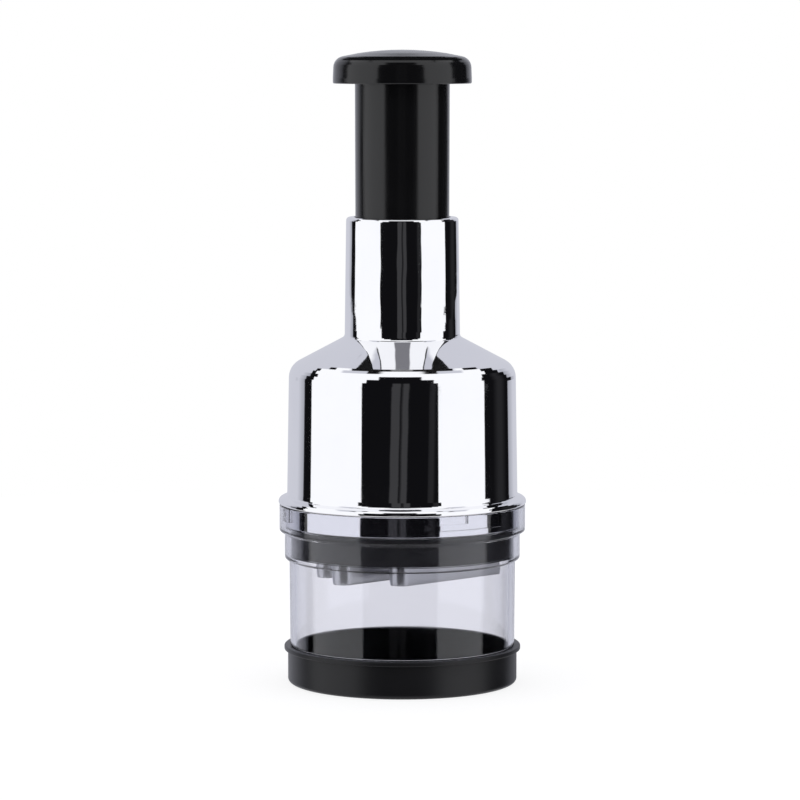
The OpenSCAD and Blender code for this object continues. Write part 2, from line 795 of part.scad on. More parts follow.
module wiper_disc() {
    root = 0.5;         // how far a finger is sunk into the plate and its web into the wall
    lap = 0.4;          // how far the barb and the web are sunk into the finger
    web_drop = 1;       // from the wall's top down to the web's
    z_root = z_wiper + wiper_t - root;
    web_top = wiper_top - web_drop;
    color([0.3, 0.3, 0.32]) rotate([0, 0, blade_heading]) {
        difference() {
            revolve([
                [0, z_wiper, 0],
                [wiper_r, z_wiper, 0.5],
                [wiper_r, wiper_top, 0.3],
                [wiper_r - wiper_wall, wiper_top, 0.3],
                [wiper_r - wiper_wall, z_wiper + wiper_t, 0],
                [0, z_wiper + wiper_t, 0]
            ]);
            at_z(z_wiper - ease) linear_extrude(wiper_t + 2 * ease) strip_outline(slot_gap);
        }
        around(finger_count) rotate([0, 0, -finger_angle / 2]) {
            sector(finger_r, finger_r + finger_t, z_root, barb_z + barb_h - z_root, 0, finger_angle);
            sector(finger_r + finger_t - lap, barb_r, barb_z, barb_h, 0, finger_angle);
            sector(finger_r + finger_t - lap, wiper_r - root, z_root, web_top - z_root, 0, finger_angle);
        }
    }
}

base_cap();
chopping_cup();
housing_shell();
neck_bush();
guide_core();
core_screws();
lower_crown();
upper_crown();
core_cap();
spring_seat();
return_spring();
buffer_ring();
plunger_tube();
plunger_knob();
swivel_washer();
swivel_screw();
drive_shaft();
index_cam();
cam_pin();
blade_carrier();
carrier_screw();
zigzag_blade();
wiper_disc();
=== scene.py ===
# %% [markdown]
# # A plunger food chopper in studio light
# This script dresses a finished CAD model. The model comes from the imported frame, which already
# holds every solid at its real size and place, so nothing here moves a part. What is left to do
# is what a product photographer and a retoucher would care about: what each surface is made of,
# what it mirrors, and where the camera stands.

# %% Load the frame
import math

import bmesh
import bpy
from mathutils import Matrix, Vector


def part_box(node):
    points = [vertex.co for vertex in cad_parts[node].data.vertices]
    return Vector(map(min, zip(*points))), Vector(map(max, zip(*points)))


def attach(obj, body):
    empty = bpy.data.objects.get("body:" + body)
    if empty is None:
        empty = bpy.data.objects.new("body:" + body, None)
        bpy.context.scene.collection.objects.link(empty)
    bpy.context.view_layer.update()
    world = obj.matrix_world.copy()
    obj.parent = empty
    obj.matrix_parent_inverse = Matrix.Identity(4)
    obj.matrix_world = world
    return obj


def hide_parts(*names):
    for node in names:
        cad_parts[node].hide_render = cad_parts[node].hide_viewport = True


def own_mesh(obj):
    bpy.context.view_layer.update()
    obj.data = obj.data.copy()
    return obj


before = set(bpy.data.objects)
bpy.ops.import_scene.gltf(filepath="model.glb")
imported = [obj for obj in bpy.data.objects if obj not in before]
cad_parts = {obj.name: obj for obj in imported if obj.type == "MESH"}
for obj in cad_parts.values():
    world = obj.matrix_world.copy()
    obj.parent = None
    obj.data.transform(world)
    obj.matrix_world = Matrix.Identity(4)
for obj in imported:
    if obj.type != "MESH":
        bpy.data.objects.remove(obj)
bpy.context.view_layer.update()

MM = 0.001


# %% [markdown]
# ## The camera
# A long lens far away keeps the cup's ellipses flat, as in a catalogue picture. The place and
# the tilt were worked out from the widths and the curvature of the rings, so they are typed in
# as numbers. Tilting the camera down, rather than shifting the lens, is what the rings show.

# %% Camera
SENSOR_MM, LENS_MM = 36, 168.75
CAMERA_PLACE_MM = (-0.86, -1385, 238)
CAMERA_DOWN_DEG = 5.475
NEAREST, FARTHEST = 0.05, 50

camera_data = bpy.data.cameras.new("catalogue_camera")
camera_data.sensor_width = SENSOR_MM
camera_data.lens = LENS_MM
camera_data.clip_start = NEAREST
camera_data.clip_end = FARTHEST
camera = bpy.data.objects.new("catalogue_camera", camera_data)
bpy.context.scene.collection.objects.link(camera)
camera.location = [v * MM for v in CAMERA_PLACE_MM]
camera.rotation_euler = (math.radians(90 - CAMERA_DOWN_DEG), 0, 0)
bpy.context.scene.camera = camera
bpy.context.scene.view_settings.view_transform = "Standard"
print("camera at", tuple(round(v, 4) for v in camera.location), "lens", camera_data.lens)

# %% [markdown]
# ## Small helpers for shader trees
# A material is a little graph. Writing each node out in full hides the idea behind the typing,
# so three helpers add a node with its settings, join two sockets, and fill a socket either way.


# %% Node helpers
def add(tree, kind, label="", **settings):
    """A new node, with a label for the reader."""
    node = tree.nodes.new(kind)
    node.label = label
    for key, value in settings.items():
        setattr(node, key, value)
    return node


def join(tree, out_socket, in_socket):
    """A link from one node's output to another node's input."""
    tree.links.new(out_socket, in_socket)


def feed(tree, value, in_socket):
    """Another node's output is joined to the input. A number or a colour is typed into it."""
    if isinstance(value, bpy.types.NodeSocket):
        join(tree, value, in_socket)
    else:
        in_socket.default_value = value


print("node helpers ready")

# %% [markdown]
# ### Arithmetic on masks
# Most of what follows is arithmetic: where is this point, how far is it past an edge, and which
# of two colours does it get. One helper for each of these steps lets the later cells read like
# formulas. A mask is a number from 0 to 1 that changes over a surface or over the room.


# %% Arithmetic helpers
def calc(tree, operation, first, second=0.0, label=""):
    """One step of arithmetic. Each input is a socket or a number."""
    node = add(tree, "ShaderNodeMath", label, operation=operation)
    feed(tree, first, node.inputs[0])
    feed(tree, second, node.inputs[1])
    return node.outputs[0]


def ranged(tree, source, start, end, low=0.0, high=1.0, label=""):
    """The source from start to end, stretched to run from low to high and held at both ends."""
    node = add(tree, "ShaderNodeMapRange", label)
    for key, value in (("From Min", start), ("From Max", end), ("To Min", low), ("To Max", high)):
        node.inputs[key].default_value = value
    join(tree, source, node.inputs["Value"])
    return node.outputs["Result"]


def scaled(tree, mask, low, high, label=""):
    """A mask from 0 to 1, stretched to run from low to high."""
    return ranged(tree, mask, 0.0, 1.0, low, high, label)


def opposite(tree, mask):
    """1 where the mask is 0, and 0 where it is 1."""
    return calc(tree, "SUBTRACT", 1.0, mask)


def blended(tree, mask, under, over, label=""):
    """Two colours mixed by a mask. Each colour is a socket or four numbers."""
    node = add(tree, "ShaderNodeMix", label, data_type="RGBA")
    join(tree, mask, node.inputs["Factor"])
    feed(tree, under, node.inputs["A"])
    feed(tree, over, node.inputs["B"])
    return node.outputs["Result"]


print("arithmetic helpers ready")

# %% [markdown]
# ### Which kind of ray is looking
# A product picture cheats: the camera should see plain white paper behind the object, while the
# chrome should mirror a dark studio. The Light Path node tells how a ray got here, so that the
# world and the floor can show a different face to each kind of ray.

# %% Ray helpers
ONE_BOUNCE = 0.5  # bounces are counted in whole numbers, so this lies between none and one


def ray_kinds(tree):
    """Masks for rays that see a thing plainly, after a mirror, or as soft light."""
    rays = add(tree, "ShaderNodeLightPath")
    mirrored = calc(tree, "GREATER_THAN", rays.outputs["Glossy Depth"], ONE_BOUNCE, "after a mirror")
    soft = calc(tree, "GREATER_THAN", rays.outputs["Diffuse Depth"], ONE_BOUNCE, "soft light")
    bounced = calc(tree, "MAXIMUM", mirrored, soft, "after any bounce")
    through = calc(
        tree, "SUBTRACT", rays.outputs["Is Transmission Ray"], bounced, "through clear plastic")
    plain = calc(tree, "MAXIMUM", rays.outputs["Is Camera Ray"], through, "seen plainly")
    return plain, mirrored, soft


def either(tree, mask, off, on, label):
    """One shader where the mask is 0, and another where it is 1."""
    node = add(tree, "ShaderNodeMixShader", label)
    join(tree, mask, node.inputs["Fac"])
    join(tree, off, node.inputs[1])
    join(tree, on, node.inputs[2])
    return node.outputs[0]


print("ray helpers ready")

# %% [markdown]
# ## The studio that the chrome mirrors
# Polished metal has almost no colour of its own: it shows the room. A photographer lights it
# with tall white softboxes at the sides and stands black cards between them, so that the
# cylinder gets crisp dark and light bands. Panels could be modelled as planes, but they would
# stand in the way of other views. Here the world itself holds them: a colour ramp round the
# horizon for the cards, and one big white box drawn over it, with a black card in front of it.
# They are fixed to the room and never hide the object. Rays that leave the camera directly, or
# only pass through the clear cup, see plain white. Rays that have met a mirror see the studio,
# also through the cup.

# %% Colours of the studio
DARK = (0.005, 0.005, 0.006, 1)
FAINT = (0.020, 0.020, 0.022, 1)
GLOW = (0.046, 0.046, 0.049, 1)
CEILING_GREY = (0.22, 0.22, 0.24, 1)
DULL = (0.38, 0.39, 0.44, 1)
PALE = (0.62, 0.63, 0.70, 1)
FLOOR_LIT = (0.80, 0.80, 0.83, 1)
WHITE = (1.04, 1.05, 1.08, 1)
print("brightest card:", max(WHITE), "darkest:", min(DARK))

# %% Cards round the horizon and overhead, by heading in degrees from the camera's side
CARDS = [
    (-180, PALE), (-130, PALE), (-117.3, DULL), (-116.7, DARK), (-12.6, DARK), (-11.6, GLOW),
    (-4.2, GLOW), (-3.2, DARK), (-1.8, DARK), (-0.8, GLOW), (4.4, GLOW), (5.4, DARK),
    (25.5, DARK), (27, FAINT), (31.5, FAINT), (33, DARK), (104, DARK), (113, FAINT),
    (119, FAINT), (128, DARK), (133.8, DARK), (134.4, DULL), (150, PALE),
]
HIGH_CARDS = [
    (-180, PALE), (-87, PALE), (-85.5, DARK), (-81, DARK), (-80, WHITE), (-28, WHITE),
    (-24, CEILING_GREY), (24, CEILING_GREY), (28, WHITE), (80, WHITE),
    (81, DARK), (85.5, DARK), (87, PALE),
]
print("studio cards:", len(CARDS), "and overhead:", len(HIGH_CARDS))

# %% [markdown]
# ### A ramp for the cards and a mask for the card in front
# For every ray the world is asked how bright the room is in that direction. A direction has a
# heading, which is its turn away from the camera's side, and a height, which is its upward part
# from -1 to 1. A colour ramp laid along the heading gives a row of upright cards. The black card
# in front of the white box has rounded upper corners, so its mask needs both: it is a
# superellipse, the curve between an ellipse and a rectangle.

# %% Ramp, card and edge
CARD_MIDDLE, CARD_HALF = -2.5, 38.8
CARD_SHOULDER, CARD_TOP, CORNER = -0.10, 0.84, 3.0
CARD_EDGE = (0.990, 1.010)
EDGE_FADE_DEG = 0.4


def card_ramp(tree, cards, heading):
    """The colours of a row of cards that stand round the horizon."""
    ramp = add(tree, "ShaderNodeValToRGB", "cards")
    stops = ramp.color_ramp.elements
    for stop, place_on_ramp in zip(stops, (0, 1)):
        stop.position = place_on_ramp
        stop.color = cards[0][1]
    for heading_deg, colour in cards[1:]:
        stops.new((heading_deg + 180) / 360).color = colour
    join(tree, ranged(tree, heading, -180, 180), ramp.inputs["Fac"])
    return ramp.outputs["Color"]


def card_mask(tree, heading, up):
    """The black card in front: straight sides, and upper corners rounded as a superellipse."""
    across = calc(tree, "DIVIDE", calc(tree, "SUBTRACT", heading, CARD_MIDDLE), CARD_HALF)
    across = calc(tree, "POWER", calc(tree, "ABSOLUTE", across), CORNER)
    rise = calc(tree, "DIVIDE", calc(tree, "SUBTRACT", up, CARD_SHOULDER), CARD_TOP - CARD_SHOULDER)
    rise = calc(tree, "POWER", calc(tree, "MAXIMUM", rise, 0.0), CORNER)
    reach = calc(tree, "POWER", calc(tree, "ADD", across, rise), 1 / CORNER, "1 on the card's edge")
    return ranged(tree, reach, *CARD_EDGE, 1.0, 0.0, "front card")


def past(tree, angle, edge):
    """1 where the angle is larger than the edge, with a narrow fade between."""
    return ranged(tree, calc(tree, "SUBTRACT", angle, edge), -EDGE_FADE_DEG, EDGE_FADE_DEG)


print("front card from", CARD_MIDDLE - CARD_HALF, "to", CARD_MIDDLE + CARD_HALF, "degrees")

# %% Direction of a ray
world = bpy.data.worlds.new("studio")
bpy.context.scene.world = world
world.use_nodes = True
sky = world.node_tree
sky.nodes.clear()
direction = add(sky, "ShaderNodeSeparateXYZ", "direction of the ray")
join(sky, add(sky, "ShaderNodeTexCoord").outputs["Generated"], direction.inputs[0])
up = direction.outputs["Z"]
towards = calc(sky, "MULTIPLY", direction.outputs["Y"], -1, "towards the camera's side")
turn = calc(sky, "ARCTAN2", direction.outputs["X"], towards)
true_heading = calc(sky, "DEGREES", turn, label="heading")
print("world nodes for the direction:", len(sky.nodes))

# %% [markdown]
# ### The cards in front
# The neck's wall mirrors the heights just above those that the bell mirrors. There the softboxes
# look wider, so over those heights the whole row of cards is spread out by a small share. The
# faint streaks in front lean a little, so the front cards turn with height.

# %% Cards as the housing mirrors them
NECK_FOOT, NECK_RIM, NECK_SPREAD = (-0.0585, -0.0565), (-0.012, -0.004), 0.07
LEAN_HEIGHTS, LEAN_DEG = (-0.092, -0.055), (1.4, -2.2)
FRONT_END_DEG = (33.0, 36.0)

above_bell = ranged(sky, up, *NECK_FOOT)
below_rim = ranged(sky, up, *NECK_RIM, 1.0, 0.0)
neck_band = calc(sky, "MULTIPLY", above_bell, below_rim, "heights that the neck mirrors")
spread = opposite(sky, calc(sky, "MULTIPLY", neck_band, NECK_SPREAD))
heading = calc(sky, "MULTIPLY", true_heading, spread)
streak_lean = ranged(sky, up, *LEAN_HEIGHTS, *LEAN_DEG, "streaks lean")
from_front = calc(sky, "ABSOLUTE", heading)
near_front = ranged(sky, from_front, *FRONT_END_DEG, 1.0, 0.0, "front cards only")
card_heading = calc(sky, "ADD", heading, calc(sky, "MULTIPLY", streak_lean, near_front))
cards = card_ramp(sky, CARDS, card_heading)
print("front cards lean by", LEAN_DEG[0] - LEAN_DEG[1], "degrees in all")

# %% [markdown]
# ### The white box and the gap behind it
# The rounded shoulder mirrors everything from the horizon up to the ceiling, so the room needs a
# believable shape there too. The sides of the white box swing backwards as they rise. A dark gap
# follows them, and behind it the far wall is pale. Each edge is one comparison of two headings.

# %% White box
LEFT_SIDE, RIGHT_SIDE, SWUNG_BACK = -104.3, 90.9, 150
LEFT_GAP, RIGHT_GAP = (-117, -158), (134, 158)
LEFT_RISE, RIGHT_RISE = (0.45, 0.76), (0.45, 0.80)
WALL_FOOT = (0.40, 0.45)

left_side = ranged(sky, up, *LEFT_RISE, LEFT_SIDE, -SWUNG_BACK)
right_side = ranged(sky, up, *RIGHT_RISE, RIGHT_SIDE, SWUNG_BACK)
left_gap = ranged(sky, up, *LEFT_RISE, *LEFT_GAP)
right_gap = ranged(sky, up, *RIGHT_RISE, *RIGHT_GAP)
behind_left, behind_right = past(sky, left_gap, heading), past(sky, heading, right_gap)
behind = calc(sky, "MAXIMUM", behind_left, behind_right, "behind the dark gap")
higher = blended(sky, behind, DARK, PALE, "higher up")
view = blended(sky, ranged(sky, up, *WALL_FOOT), cards, higher, "cards, then the wall above them")
from_left, from_right = past(sky, heading, left_side), past(sky, right_side, heading)
box = calc(sky, "MULTIPLY", from_left, from_right, "the white box")
white = calc(sky, "MULTIPLY", box, opposite(sky, card_mask(sky, heading, up)))
view = blended(sky, white, view, WHITE, "and the white box")
print("white box from", LEFT_SIDE, "to", RIGHT_SIDE, "degrees")

# %% [markdown]
# ### The floor and the ceiling of the room
# Steep rays meet a lit floor below and a ceiling above. The ceiling has cards of its own, which
# the slope of the housing's shoulder mirrors. Right overhead a heading means little, because all
# headings meet there, so the last cap is divided by front and back instead.

# %% Floor, overhead and straight up
FLOOR_LINE, CEILING_LINE, ZENITH_LINE = (-0.42, -0.52), (0.82, 0.84), (0.90, 0.91)
GAP_BACK, BOX_BACK = (-0.07, -0.06), (-0.01, 0.01)

view = blended(sky, ranged(sky, up, *FLOOR_LINE), view, FLOOR_LIT, "the lit floor")
overhead = card_ramp(sky, HIGH_CARDS, true_heading)
view = blended(sky, ranged(sky, up, *CEILING_LINE), view, overhead, "cards overhead")
gap_back = blended(sky, ranged(sky, towards, *GAP_BACK), PALE, DARK, "pale behind the gap")
zenith = blended(sky, ranged(sky, towards, *BOX_BACK), gap_back, WHITE, "gap behind the box")
view = blended(sky, ranged(sky, up, *ZENITH_LINE), view, zenith, "straight up")
print("world nodes for the room:", len(sky.nodes))

# %% [markdown]
# ### Three faces of the world
# Mirrors get the studio. Matt surfaces get an even, slightly cool fill in place of the black
# cards. The camera gets the white of the paper, also through the cup.

# %% World output
FILL, FILL_STRENGTH = (0.98, 0.98, 1.0, 1), 0.6
PAPER_WHITE = (1, 1, 1, 1)


def backdrop(label, colour, strength=1.0):
    """One face of the world. Its colour is a socket or four numbers."""
    node = add(sky, "ShaderNodeBackground", label)
    feed(sky, colour, node.inputs["Color"])
    node.inputs["Strength"].default_value = strength
    return node.outputs[0]


room = backdrop("what polished surfaces mirror", view)
fill = backdrop("soft light on everything else", FILL, FILL_STRENGTH)
paper = backdrop("white behind the object", PAPER_WHITE)
plain, _, soft = ray_kinds(sky)
lit = either(sky, soft, room, fill, "mirror or soft light")
shown = either(sky, plain, lit, paper, "paper or studio")
join(sky, shown, add(sky, "ShaderNodeOutputWorld").inputs["Surface"])
print("world nodes in all:", len(sky.nodes))

# %% [markdown]
# ## Lamps
# Two large area lamps at the sides and a smaller one above, a little behind, give the matt parts
# a soft direction. They are left out of reflections, because the world already holds the
# softboxes that the chrome should show.

# %% Lamps
LAMP_AIM = Vector((0, 0, 0.11))


def softbox(name, heading_deg, height, distance, width, tall, watts):
    """A lamp that looks at the middle of the object. Its sizes and places are in metres."""
    data = bpy.data.lights.new(name, "AREA")
    data.shape = "RECTANGLE"
    data.size = width
    data.size_y = tall
    data.energy = watts
    lamp = bpy.data.objects.new(name, data)
    bpy.context.scene.collection.objects.link(lamp)
    a = math.radians(heading_deg)
    lamp.location = (distance * math.sin(a), -distance * math.cos(a), height)
    lamp.rotation_euler = (LAMP_AIM - lamp.location).to_track_quat("-Z", "Y").to_euler()
    for kind in ("glossy", "camera", "transmission"):
        setattr(lamp, "visible_" + kind, False)


softbox("left_softbox", -73, height=0.35, distance=1.5, width=1.6, tall=1.8, watts=7.0)
softbox("right_softbox", 67, height=0.35, distance=1.5, width=1.4, tall=1.8, watts=6.0)
softbox("top_softbox", 180, height=1.5, distance=0.5, width=1.2, tall=0.8, watts=3.0)

# %% [markdown]
# ## Floor
# The floor is a disc of white paper: mostly a glow for the camera, so that it melts into the
# background, and partly plain paint, which keeps the soft shadow where the cap touches it.
# Mirrored rays pass through it to the studio, which has its own lit floor.


# %% Floor disc
def plain_object(name, bm):
    """A mesh object from a bmesh, linked to the scene."""
    mesh = bpy.data.meshes.new(name)
    bm.to_mesh(mesh)
    bm.free()
    obj = bpy.data.objects.new(name, mesh)
    bpy.context.scene.collection.objects.link(obj)
    return obj


FLOOR_R, FLOOR_SIDES = 0.6, 96
sheet = bmesh.new()
bmesh.ops.create_circle(sheet, cap_ends=True, segments=FLOOR_SIDES, radius=FLOOR_R)
floor = plain_object("floor", sheet)
print("floor radius in m:", FLOOR_R)

# %% Floor paper
PAPER_PAINT = (0.30, 0.30, 0.31, 1)
GLOW_BOUNCED, GLOW_PLAIN = 0.30, 0.80

floor_paint = bpy.data.materials.new("white_paper")
floor_paint.use_nodes = True
tree = floor_paint.node_tree
tree.nodes.clear()
paint = add(tree, "ShaderNodeBsdfDiffuse")
paint.inputs["Color"].default_value = PAPER_PAINT
glow = add(tree, "ShaderNodeEmission")
glow.inputs["Color"].default_value = PAPER_WHITE
plain, mirrored, _ = ray_kinds(tree)
how_bright = scaled(tree, plain, GLOW_BOUNCED, GLOW_PLAIN, "how much it glows")
join(tree, how_bright, glow.inputs["Strength"])
both = add(tree, "ShaderNodeAddShader")
join(tree, paint.outputs[0], both.inputs[0])
join(tree, glow.outputs[0], both.inputs[1])
nothing = add(tree, "ShaderNodeBsdfTransparent")
surface = either(tree, mirrored, both.outputs[0], nothing.outputs[0], "open to mirrored rays")
join(tree, surface, add(tree, "ShaderNodeOutputMaterial").inputs["Surface"])
floor.data.materials.append(floor_paint)
print("floor paper nodes:", len(tree.nodes))

# %% [markdown]
# ### A black flag over the knob
# A domed black knob under a white ceiling turns grey. A photographer holds a small black flag
# over it, so that only its back rim still catches the light. The flag is seen by reflections
# alone, so it never hides or shades the object.

# %% Flag
FLAG_HALF = 0.08
FLAG_ARCH = [(0.080, 0.276), (0.055, 0.300), (0.020, 0.318), (-0.030, 0.325)]
FLAG_CLOTH, CLOTH_ROUGH = (0.004, 0.004, 0.004, 1), 1.0

arch = bmesh.new()
ribs = [[arch.verts.new((side * FLAG_HALF, y, z)) for side in (-1, 1)] for y, z in FLAG_ARCH]
for near, far in zip(ribs, ribs[1:]):
    arch.faces.new((near[0], near[1], far[1], far[0]))
flag = plain_object("black_flag", arch)
for kind in ("camera", "diffuse", "transmission", "shadow"):
    setattr(flag, "visible_" + kind, False)
flag_black = bpy.data.materials.new("flag_cloth")
flag_black.use_nodes = True
cloth = flag_black.node_tree.nodes["Principled BSDF"]
cloth.inputs["Base Color"].default_value = FLAG_CLOTH
cloth.inputs["Roughness"].default_value = CLOTH_ROUGH
flag.data.materials.append(flag_black)
print("flag ribs:", len(FLAG_ARCH))

# %% [markdown]
# ## Surface effects shared by several materials
# Moulded plastic, plating and drawn steel differ in the size and direction of very small marks.
# Each effect is a node group with named inputs, so that every material can ask for its own
# scale. The groups only put out masks and heights; the shader itself stays in the material.


# %% Group maker
def new_group(name, inputs, outputs):
    """An empty group with named sockets: the group, its input node and its output node."""
    group = bpy.data.node_groups.new(name, "ShaderNodeTree")
    for label, default in inputs:
        socket = group.interface.new_socket(label, in_out="INPUT", socket_type="NodeSocketFloat")
        socket.default_value = default
    for label in outputs:
        group.interface.new_socket(label, in_out="OUTPUT", socket_type="NodeSocketFloat")
    source = group.nodes.new("NodeGroupInput")
    sink = group.nodes.new("NodeGroupOutput")
    return group, source, sink


def place(tree, group, **values):
    """The group in a material, with that material's own values."""
    node = add(tree, "ShaderNodeGroup", group.name)
    node.node_tree = group
    for label, value in values.items():
        node.inputs[label.replace("_", " ")].default_value = value
    return node


print("group maker ready")

# %% [markdown]
# ### Noise that is fixed to the piece
# All four effects start from soft noise. It is read at the point's place on its own piece, in
# metres, and not in the picture or the room, so the marks stay on the plastic when a joint
# moves. Multiplying one direction by a factor first squeezes the noise along it, which turns
# clouds into lines.


# %% Noise helpers
def own_place(tree):
    """The point's place on its own piece."""
    return add(tree, "ShaderNodeTexCoord").outputs["Object"]


def squeezed(tree, where, factors, label=""):
    """A place with each direction multiplied by its own factor, a socket or a number."""
    by_axis = add(tree, "ShaderNodeCombineXYZ", label)
    for axis, factor in zip("XYZ", factors):
        feed(tree, factor, by_axis.inputs[axis])
    product = add(tree, "ShaderNodeVectorMath", operation="MULTIPLY")
    join(tree, where, product.inputs[0])
    join(tree, by_axis.outputs[0], product.inputs[1])
    return product.outputs[0]


def noise(tree, label, where, scale, **values):
    """Soft noise at a place. Its scale is a socket or a number."""
    node = add(tree, "ShaderNodeTexNoise", label)
    join(tree, where, node.inputs["Vector"])
    feed(tree, scale, node.inputs["Scale"])
    for key, value in values.items():
        node.inputs[key].default_value = value
    return node.outputs["Fac"]


print("noise helpers ready")

# %% [markdown]
# ### Mould grain
# A tool leaves a fine texture in plastic, and the plastic's tone drifts slowly over the piece.
# The grain is much too small to model, so it is a height for a bump. The drift is a mask.

# %% Mould grain
mould_grain, source, sink = new_group(
    "mould_grain", [("Scale", 2500.0), ("Patch Scale", 60.0)], ["Height", "Tone"])
where = own_place(mould_grain)
fine = noise(mould_grain, "grain", where, source.outputs["Scale"], Detail=3)
slow = noise(mould_grain, "slow change of tone", where, source.outputs["Patch Scale"], Detail=2)
join(mould_grain, fine, sink.inputs["Height"])
join(mould_grain, slow, sink.inputs["Tone"])
print("mould grain nodes:", len(mould_grain.nodes))

# %% [markdown]
# ### Ripple
# A glossy moulded wall is never quite flat, because plastic shrinks unevenly as it cools. The
# waves are longer up the wall than round it, so the upward direction is multiplied by less.

# %% Ripple
ripple, source, sink = new_group("ripple", [("Scale", 45.0), ("Stretch", 0.4)], ["Height"])
longer_up = squeezed(
    ripple, own_place(ripple), (1, 1, source.outputs["Stretch"]), "longer up the wall than round it")
waves = noise(ripple, "waves", longer_up, source.outputs["Scale"], Detail=1.5)
join(ripple, waves, sink.inputs["Height"])
print("ripple nodes:", len(ripple.nodes))

# %% [markdown]
# ### Drawn lines
# Rolling, turning or drawing leaves fine lines in steel, all in one direction. Noise that
# changes quickly across that direction and slowly along it gives such lines. Each steel says
# how quickly it changes in each direction.

# %% Drawn lines
LINE_DETAIL, LINE_ROUGH, BLOTCH_SCALE = 4, 0.7, 90

drawn_lines, source, sink = new_group(
    "drawn_lines", [("Across X", 30.0), ("Across Y", 30.0), ("Across Z", 4000.0)], ["Height", "Tone"])
where = own_place(drawn_lines)
spread_out = squeezed(drawn_lines, where, [source.outputs["Across " + axis] for axis in "XYZ"])
lines = noise(drawn_lines, "lines", spread_out, 1, Detail=LINE_DETAIL, Roughness=LINE_ROUGH)
join(drawn_lines, lines, sink.inputs["Height"])
join(drawn_lines, noise(drawn_lines, "patches", where, BLOTCH_SCALE), sink.inputs["Tone"])
print("drawn lines nodes:", len(drawn_lines.nodes))

# %% [markdown]
# ### Handling
# Fingers leave faint smears. They have no colour and no height. They only change how sharp a
# reflection is, so the group puts out a mask for the roughness, with the weak smears cut off.

# %% Handling
SMEAR_DETAIL, SMEAR_CURL = 5, 0.6
SMEAR_WEAK, SMEAR_STRONG = 0.45, 0.75

handling, source, sink = new_group("handling", [("Scale", 35.0)], ["Mask"])
smears = noise(
    handling, "smears", own_place(handling), source.outputs["Scale"],
    Detail=SMEAR_DETAIL, Distortion=SMEAR_CURL)
strongest = ranged(handling, smears, SMEAR_WEAK, SMEAR_STRONG, label="keep the strongest")
join(handling, strongest, sink.inputs["Mask"])
print("effect groups:", [g.name for g in bpy.data.node_groups])

# %% [markdown]
# ## Materials
# Every finish starts from the same shader and gets its own numbers. A value that is the same all
# over the surface is typed straight into the shader's socket. Only what changes over the surface
# is linked: a small swing of colour, how sharp the reflection is, and a shallow bump.


# %% Finish helpers
def finish(name, colour, **sockets):
    """A new material: its tree and its shader, with constants set on the shader's sockets."""
    material = bpy.data.materials.new(name)
    material.use_nodes = True
    tree = material.node_tree
    shader = tree.nodes["Principled BSDF"]
    shader.inputs["Base Color"].default_value = (*colour, 1)
    for label, value in sockets.items():
        shader.inputs[label.replace("_", " ")].default_value = value
    return material, tree, shader


def tone(tree, shader, mask, dark, light):
    """Base colour that drifts between two close colours."""
    drift = blended(tree, mask, (*dark, 1), (*light, 1), "drift of colour")
    join(tree, drift, shader.inputs["Base Color"])


def sharpness(tree, shader, mask, rough):
    """Roughness that drifts between two close values."""
    join(tree, scaled(tree, mask, *rough, "sharpness"), shader.inputs["Roughness"])


def bump(tree, shader, height, depth_mm, under=None):
    """A shallow relief; under is another bump that lies below this one."""
    node = add(tree, "ShaderNodeBump", "relief")
    node.inputs["Distance"].default_value = depth_mm * MM
    join(tree, height, node.inputs["Height"])
    if under is not None:
        join(tree, under, node.inputs["Normal"])
    join(tree, node.outputs["Normal"], shader.inputs["Normal"])
    return node.outputs["Normal"]


def place_parts(tree):
    """The three parts of the point's place on its own piece, in metres."""
    parts = add(tree, "ShaderNodeSeparateXYZ", "place on the piece")
    join(tree, own_place(tree), parts.inputs[0])
    return parts.outputs


print("finish helpers ready")

# %% [markdown]
# ### Bright plating on the housing
# Plating follows the moulded wall under it, so its mirror is never perfectly true. A slow ripple
# makes the edges of the reflected bands wander by a pixel or two, which is what tells plated
# plastic from polished solid metal. On the bell it is faint, and on the neck it is at its full
# height. Smears are faint, because the piece is new.

# %% Plating
BELL_END, NECK_START, BELL_SHARE = 0.118, 0.132, 0.08
RIPPLE_MM, PEEL_MM = 0.17, 0.0012

plating, tree, shader = finish("bright_plating", (0.92, 0.92, 0.935), Metallic=1.0)
waves = place(tree, ripple, Scale=90.0, Stretch=0.60)
height_on_piece = place_parts(tree)["Z"]
neck_share = ranged(
    tree, height_on_piece, BELL_END, NECK_START, BELL_SHARE, 1.0, "stronger on the neck")
wave_height = calc(tree, "MULTIPLY", waves.outputs["Height"], neck_share)
orange_peel = place(tree, mould_grain, Scale=900.0, Patch_Scale=70.0)
smears = place(tree, handling, Scale=30.0)
tone(tree, shader, orange_peel.outputs["Tone"], (0.90, 0.90, 0.92), (0.94, 0.94, 0.95))
sharpness(tree, shader, smears.outputs["Mask"], (0.025, 0.06))
lower = bump(tree, shader, wave_height, RIPPLE_MM)
bump(tree, shader, orange_peel.outputs["Height"], PEEL_MM, under=lower)
print("plating nodes:", len(tree.nodes))

# %% [markdown]
# ### Clear plastic of the cup
# The cup is a real wall with thickness, so it bends light at its foot, step and collar by itself.
# The slight lavender tint adds up where the light crosses more plastic.

# %% Clear plastic
CUP_RIPPLE_MM = 0.02

clear, tree, shader = finish("clear_cup", (0.855, 0.857, 0.900), IOR=1.45, Transmission_Weight=1.0)
waves = place(tree, ripple, Scale=40.0, Stretch=0.6)
smears = place(tree, handling, Scale=50.0)
sharpness(tree, shader, smears.outputs["Mask"], (0.03, 0.07))
bump(tree, shader, waves.outputs["Height"], CUP_RIPPLE_MM)
print("clear plastic nodes:", len(tree.nodes))

